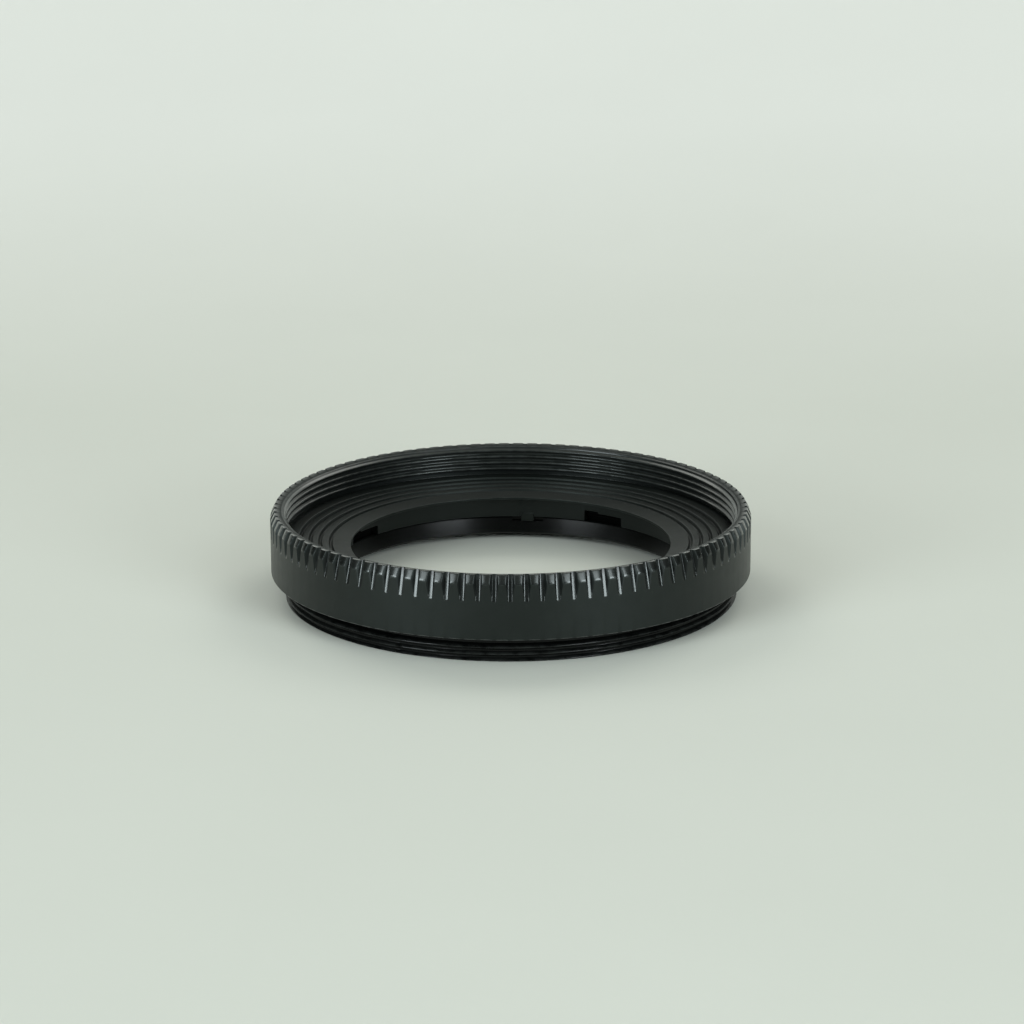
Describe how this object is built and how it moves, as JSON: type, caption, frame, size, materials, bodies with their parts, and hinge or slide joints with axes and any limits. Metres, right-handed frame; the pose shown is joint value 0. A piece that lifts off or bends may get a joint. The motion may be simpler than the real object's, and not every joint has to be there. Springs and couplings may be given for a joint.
{
  "type": "lens hood ring",
  "caption": "Low screw-in lens hood ring with a grooved grip, front filter thread, stepped light trap, small opening and a rear threaded mount ring.",
  "frame": {"origin": "middle of the rear face, on the optical axis, where the hood stands on a table", "axes": "+Z along the optical axis towards the subject, -Y towards the viewer of the picture"},
  "size_m": [0.055, 0.055, 0.0103],
  "materials": {
    "black_gloss_anodised": "smooth semi-gloss black anodised",
    "blackened_spring_steel": "oil-blackened",
    "black_matte_anodised": "matte black anodised",
    "blackened_key_steel": "blackened, slightly lighter",
    "washer_plastic": "matte",
    "black_light_trap": "matte black, fine grain",
    "black_satin_anodised": "satin black anodised, fine bead-blast grain"
  },
  "bodies": {
    "mount": {"mount_ring": "black_gloss_anodised", "snap_ring": "blackened_spring_steel"},
    "hood": {"grip_ring": "black_satin_anodised", "baffle": "black_light_trap", "clip_sleeve": "black_matte_anodised", "stop_key": "blackened_key_steel", "friction_washer": "washer_plastic"}
  },
  "joints": [
    {"name": "hood_turn", "type": "hinge", "parent": "mount", "child": "hood", "pos_m": [0, 0, 0.0029], "axis": [0, 0, 1], "range_deg": [-2.8, 2.8]}
  ]
}
